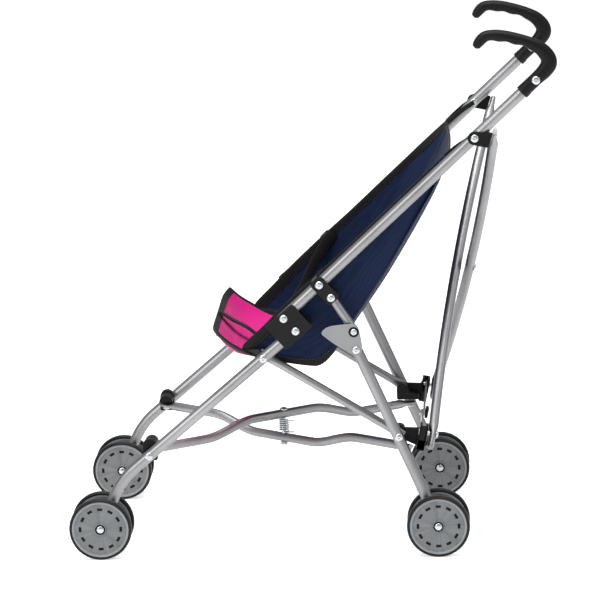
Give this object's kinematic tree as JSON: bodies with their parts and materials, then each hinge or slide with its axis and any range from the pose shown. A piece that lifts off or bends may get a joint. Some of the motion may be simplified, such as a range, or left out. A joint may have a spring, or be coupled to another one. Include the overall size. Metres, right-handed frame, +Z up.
{
  "type": "doll stroller",
  "caption": "Umbrella-fold doll stroller: crossed tube frame, paired dished wheels, hooked hand grips and a sling seat with a lap belt.",
  "frame": {"origin": "on the floor, under the middle of the stroller's length and width", "axes": "+Z up; the stroller faces -Y, so its handles are towards +Y; +X is its left side"},
  "size_m": [0.2628, 0.4898, 0.5263],
  "materials": {
    "silver_tube": "satin silver",
    "black_steel": "satin black",
    "zinc": "bright zinc plate",
    "black_plastic": "fine-grained black",
    "grey_plastic": "fine-grained grey",
    "wheel_plastic": "grey disc with a darker tread",
    "navy_cloth": "plain woven navy",
    "pink_cloth": "plain woven bright pink",
    "webbing": "narrow black webbing"
  },
  "bodies": {
    "base": {"cross_pivot_bolt": "zinc", "torsion_spring": "zinc"},
    "seat": {"seat_fabric": "navy_cloth", "seat_pad": "pink_cloth", "lap_belt": "webbing"},
    "cross_tube_upper": {"cross_tube_upper": "silver_tube"},
    "cross_tube_lower": {"cross_tube_lower": "silver_tube"},
    "front_knuckle_left": {"front_knuckle_left": "black_plastic", "front_pivot_rivet_left": "zinc"},
    "front_leg_left": {"front_leg_left": "silver_tube", "side_bracket_left": "black_steel", "elbow_rivet_left": "zinc"},
    "handle_left": {"handle_tube_left": "silver_tube", "handle_grip_left": "black_plastic", "link_clip_left": "black_steel", "link_rivet_left": "zinc", "top_bracket_left": "black_plastic"},
    "lock_link_left": {"lock_link_left": "silver_tube"},
    "rear_knuckle_left": {"rear_knuckle_left": "black_plastic", "rear_pivot_rivet_left": "zinc"},
    "seat_brace_left": {"seat_brace_left": "silver_tube"},
    "rear_leg_left": {"rear_leg_left": "silver_tube", "lock_plate_left": "grey_plastic"},
    "back_bracket_left": {"back_bracket_left": "black_plastic", "foot_rivet_left": "zinc"},
    "back_tube_left": {"back_tube_left": "silver_tube"},
    "lock_bar_left": {"lock_bar_left": "silver_tube"},
    "front_wheels_left": {"front_wheel_left_outer": "wheel_plastic", "front_wheel_left_inner": "wheel_plastic", "front_axle_left": "zinc"},
    "rear_wheels_left": {"rear_wheel_left_outer": "wheel_plastic", "rear_wheel_left_inner": "wheel_plastic", "rear_axle_left": "zinc"},
    "front_knuckle_right": {"front_knuckle_right": "black_plastic", "front_pivot_rivet_right": "zinc"},
    "front_leg_right": {"front_leg_right": "silver_tube", "side_bracket_right": "black_steel", "elbow_rivet_right": "zinc"},
    "handle_right": {"handle_tube_right": "silver_tube", "handle_grip_right": "black_plastic", "link_clip_right": "black_steel", "link_rivet_right": "zinc", "top_bracket_right": "black_plastic"},
    "lock_link_right": {"lock_link_right": "silver_tube"},
    "rear_knuckle_right": {"rear_knuckle_right": "black_plastic", "rear_pivot_rivet_right": "zinc"},
    "seat_brace_right": {"seat_brace_right": "silver_tube"},
    "rear_leg_right": {"rear_leg_right": "silver_tube", "lock_plate_right": "grey_plastic"},
    "back_bracket_right": {"back_bracket_right": "black_plastic", "foot_rivet_right": "zinc"},
    "back_tube_right": {"back_tube_right": "silver_tube"},
    "lock_bar_right": {"lock_bar_right": "silver_tube", "lock_pedal": "black_plastic"},
    "front_wheels_right": {"front_wheel_right_outer": "wheel_plastic", "front_wheel_right_inner": "wheel_plastic", "front_axle_right": "zinc"},
    "rear_wheels_right": {"rear_wheel_right_outer": "wheel_plastic", "rear_wheel_right_inner": "wheel_plastic", "rear_axle_right": "zinc"}
  },
  "joints": [
    {"name": "fold", "type": "hinge", "parent": "base", "child": "cross_tube_upper", "pos_m": [0, -0.035, 0.1045], "axis": [0, 0, -1], "range_deg": [0, 27.5], "deforming": ["seat_fabric", "seat_pad", "lap_belt", "torsion_spring"]},
    {"name": "cross_tube_lower_turn", "type": "hinge", "parent": "base", "child": "cross_tube_lower", "pos_m": [0, -0.035, 0.1045], "axis": [0, 0, 1], "range_deg": [0, 27.5]},
    {"name": "seat_tip", "type": "hinge", "parent": "base", "child": "seat", "pos_m": [0, 0.05105, 0.21897], "axis": [1, 0, 0], "range_deg": [0, 64.79]},
    {"name": "front_knuckle_left_turn", "type": "hinge", "parent": "cross_tube_upper", "child": "front_knuckle_left", "pos_m": [0.092, -0.164, 0.1045], "axis": [0, 0, 1], "range_deg": [0, 27.5]},
    {"name": "rear_knuckle_left_turn", "type": "hinge", "parent": "cross_tube_lower", "child": "rear_knuckle_left", "pos_m": [0.092, 0.094, 0.1045], "axis": [0, 0, -1], "range_deg": [0, 27.5]},
    {"name": "front_leg_left_swing", "type": "hinge", "parent": "front_knuckle_left", "child": "front_leg_left", "pos_m": [0.113, -0.1641, 0.1037], "axis": [-1, 0, 0], "range_deg": [0, 28.85]},
    {"name": "handle_left_swing", "type": "hinge", "parent": "front_leg_left", "child": "handle_left", "pos_m": [0.113, -0.0262, 0.2433], "axis": [1, 0, 0], "range_deg": [0, 93.64]},
    {"name": "lock_link_left_swing", "type": "hinge", "parent": "handle_left", "child": "lock_link_left", "pos_m": [0.113, 0.0211, 0.2639], "axis": [-1, 0, 0], "range_deg": [0, 8.09]},
    {"name": "seat_brace_left_swing", "type": "hinge", "parent": "rear_knuckle_left", "child": "seat_brace_left", "pos_m": [0.113, 0.0858, 0.1208], "axis": [1, 0, 0], "range_deg": [0, 26.76]},
    {"name": "rear_leg_left_swing", "type": "hinge", "parent": "rear_knuckle_left", "child": "rear_leg_left", "pos_m": [0.113, 0.0858, 0.1208], "axis": [1, 0, 0], "range_deg": [0, 18.56]},
    {"name": "back_bracket_left_swing", "type": "hinge", "parent": "rear_knuckle_left", "child": "back_bracket_left", "pos_m": [0.113, 0.0858, 0.1208], "axis": [1, 0, 0], "range_deg": [0, 47.02]},
    {"name": "back_tube_left_turn", "type": "hinge", "parent": "back_bracket_left", "child": "back_tube_left", "pos_m": [0.102, 0.11943, 0.11982], "axis": [0, 0.978, -0.2086], "range_deg": [0, 23.48]},
    {"name": "lock_bar_left_turn", "type": "hinge", "parent": "back_bracket_left", "child": "lock_bar_left", "pos_m": [0.102, 0.11943, 0.11982], "axis": [0, 0.978, -0.2086], "range_deg": [0, 71.69]},
    {"name": "front_wheels_left_roll", "type": "hinge", "parent": "front_leg_left", "child": "front_wheels_left", "pos_m": [0.113, -0.2142, 0.0315], "axis": [1, 0, 0], "continuous": true},
    {"name": "rear_wheels_left_roll", "type": "hinge", "parent": "rear_leg_left", "child": "rear_wheels_left", "pos_m": [0.113, 0.124, 0.0315], "axis": [1, 0, 0], "continuous": true},
    {"name": "front_knuckle_right_turn", "type": "hinge", "parent": "cross_tube_lower", "child": "front_knuckle_right", "pos_m": [-0.092, -0.164, 0.1045], "axis": [0, 0, -1], "range_deg": [0, 27.5]},
    {"name": "rear_knuckle_right_turn", "type": "hinge", "parent": "cross_tube_upper", "child": "rear_knuckle_right", "pos_m": [-0.092, 0.094, 0.1045], "axis": [0, 0, 1], "range_deg": [0, 27.5]},
    {"name": "front_leg_right_swing", "type": "hinge", "parent": "front_knuckle_right", "child": "front_leg_right", "pos_m": [-0.113, -0.1641, 0.1037], "axis": [-1, 0, 0], "range_deg": [0, 28.85]},
    {"name": "handle_right_swing", "type": "hinge", "parent": "front_leg_right", "child": "handle_right", "pos_m": [-0.113, -0.0262, 0.2433], "axis": [1, 0, 0], "range_deg": [0, 93.64]},
    {"name": "lock_link_right_swing", "type": "hinge", "parent": "handle_right", "child": "lock_link_right", "pos_m": [-0.113, 0.0211, 0.2639], "axis": [-1, 0, 0], "range_deg": [0, 8.09]},
    {"name": "seat_brace_right_swing", "type": "hinge", "parent": "rear_knuckle_right", "child": "seat_brace_right", "pos_m": [-0.113, 0.0858, 0.1208], "axis": [1, 0, 0], "range_deg": [0, 26.76]},
    {"name": "rear_leg_right_swing", "type": "hinge", "parent": "rear_knuckle_right", "child": "rear_leg_right", "pos_m": [-0.113, 0.0858, 0.1208], "axis": [1, 0, 0], "range_deg": [0, 18.56]},
    {"name": "back_bracket_right_swing", "type": "hinge", "parent": "rear_knuckle_right", "child": "back_bracket_right", "pos_m": [-0.113, 0.0858, 0.1208], "axis": [1, 0, 0], "range_deg": [0, 47.02]},
    {"name": "back_tube_right_turn", "type": "hinge", "parent": "back_bracket_right", "child": "back_tube_right", "pos_m": [-0.102, 0.11943, 0.11982], "axis": [0, -0.978, 0.2086], "range_deg": [0, 23.48]},
    {"name": "lock_bar_right_turn", "type": "hinge", "parent": "back_bracket_right", "child": "lock_bar_right", "pos_m": [-0.102, 0.11943, 0.11982], "axis": [0, -0.978, 0.2086], "range_deg": [0, 71.69]},
    {"name": "front_wheels_right_roll", "type": "hinge", "parent": "front_leg_right", "child": "front_wheels_right", "pos_m": [-0.113, -0.2142, 0.0315], "axis": [1, 0, 0], "continuous": true},
    {"name": "rear_wheels_right_roll", "type": "hinge", "parent": "rear_leg_right", "child": "rear_wheels_right", "pos_m": [-0.113, 0.124, 0.0315], "axis": [1, 0, 0], "continuous": true}
  ],
  "couplings": [
    {"joint": "cross_tube_lower_turn", "follows": "fold", "ratio": 1},
    {"joint": "seat_tip", "follows": "fold", "ratio": 2.356},
    {"joint": "front_knuckle_left_turn", "follows": "fold", "ratio": 1},
    {"joint": "rear_knuckle_left_turn", "follows": "fold", "ratio": 1},
    {"joint": "front_leg_left_swing", "follows": "fold", "ratio": 1.049},
    {"joint": "handle_left_swing", "follows": "fold", "ratio": 3.405},
    {"joint": "lock_link_left_swing", "follows": "fold", "ratio": 0.294},
    {"joint": "seat_brace_left_swing", "follows": "fold", "ratio": 0.973},
    {"joint": "rear_leg_left_swing", "follows": "fold", "ratio": 0.675},
    {"joint": "back_bracket_left_swing", "follows": "fold", "ratio": 1.71},
    {"joint": "back_tube_left_turn", "follows": "fold", "ratio": 0.854},
    {"joint": "lock_bar_left_turn", "follows": "fold", "ratio": 2.607},
    {"joint": "front_knuckle_right_turn", "follows": "fold", "ratio": 1},
    {"joint": "rear_knuckle_right_turn", "follows": "fold", "ratio": 1},
    {"joint": "front_leg_right_swing", "follows": "fold", "ratio": 1.049},
    {"joint": "handle_right_swing", "follows": "fold", "ratio": 3.405},
    {"joint": "lock_link_right_swing", "follows": "fold", "ratio": 0.294},
    {"joint": "seat_brace_right_swing", "follows": "fold", "ratio": 0.973},
    {"joint": "rear_leg_right_swing", "follows": "fold", "ratio": 0.675},
    {"joint": "back_bracket_right_swing", "follows": "fold", "ratio": 1.71},
    {"joint": "back_tube_right_turn", "follows": "fold", "ratio": 0.854},
    {"joint": "lock_bar_right_turn", "follows": "fold", "ratio": 2.607}
  ]
}
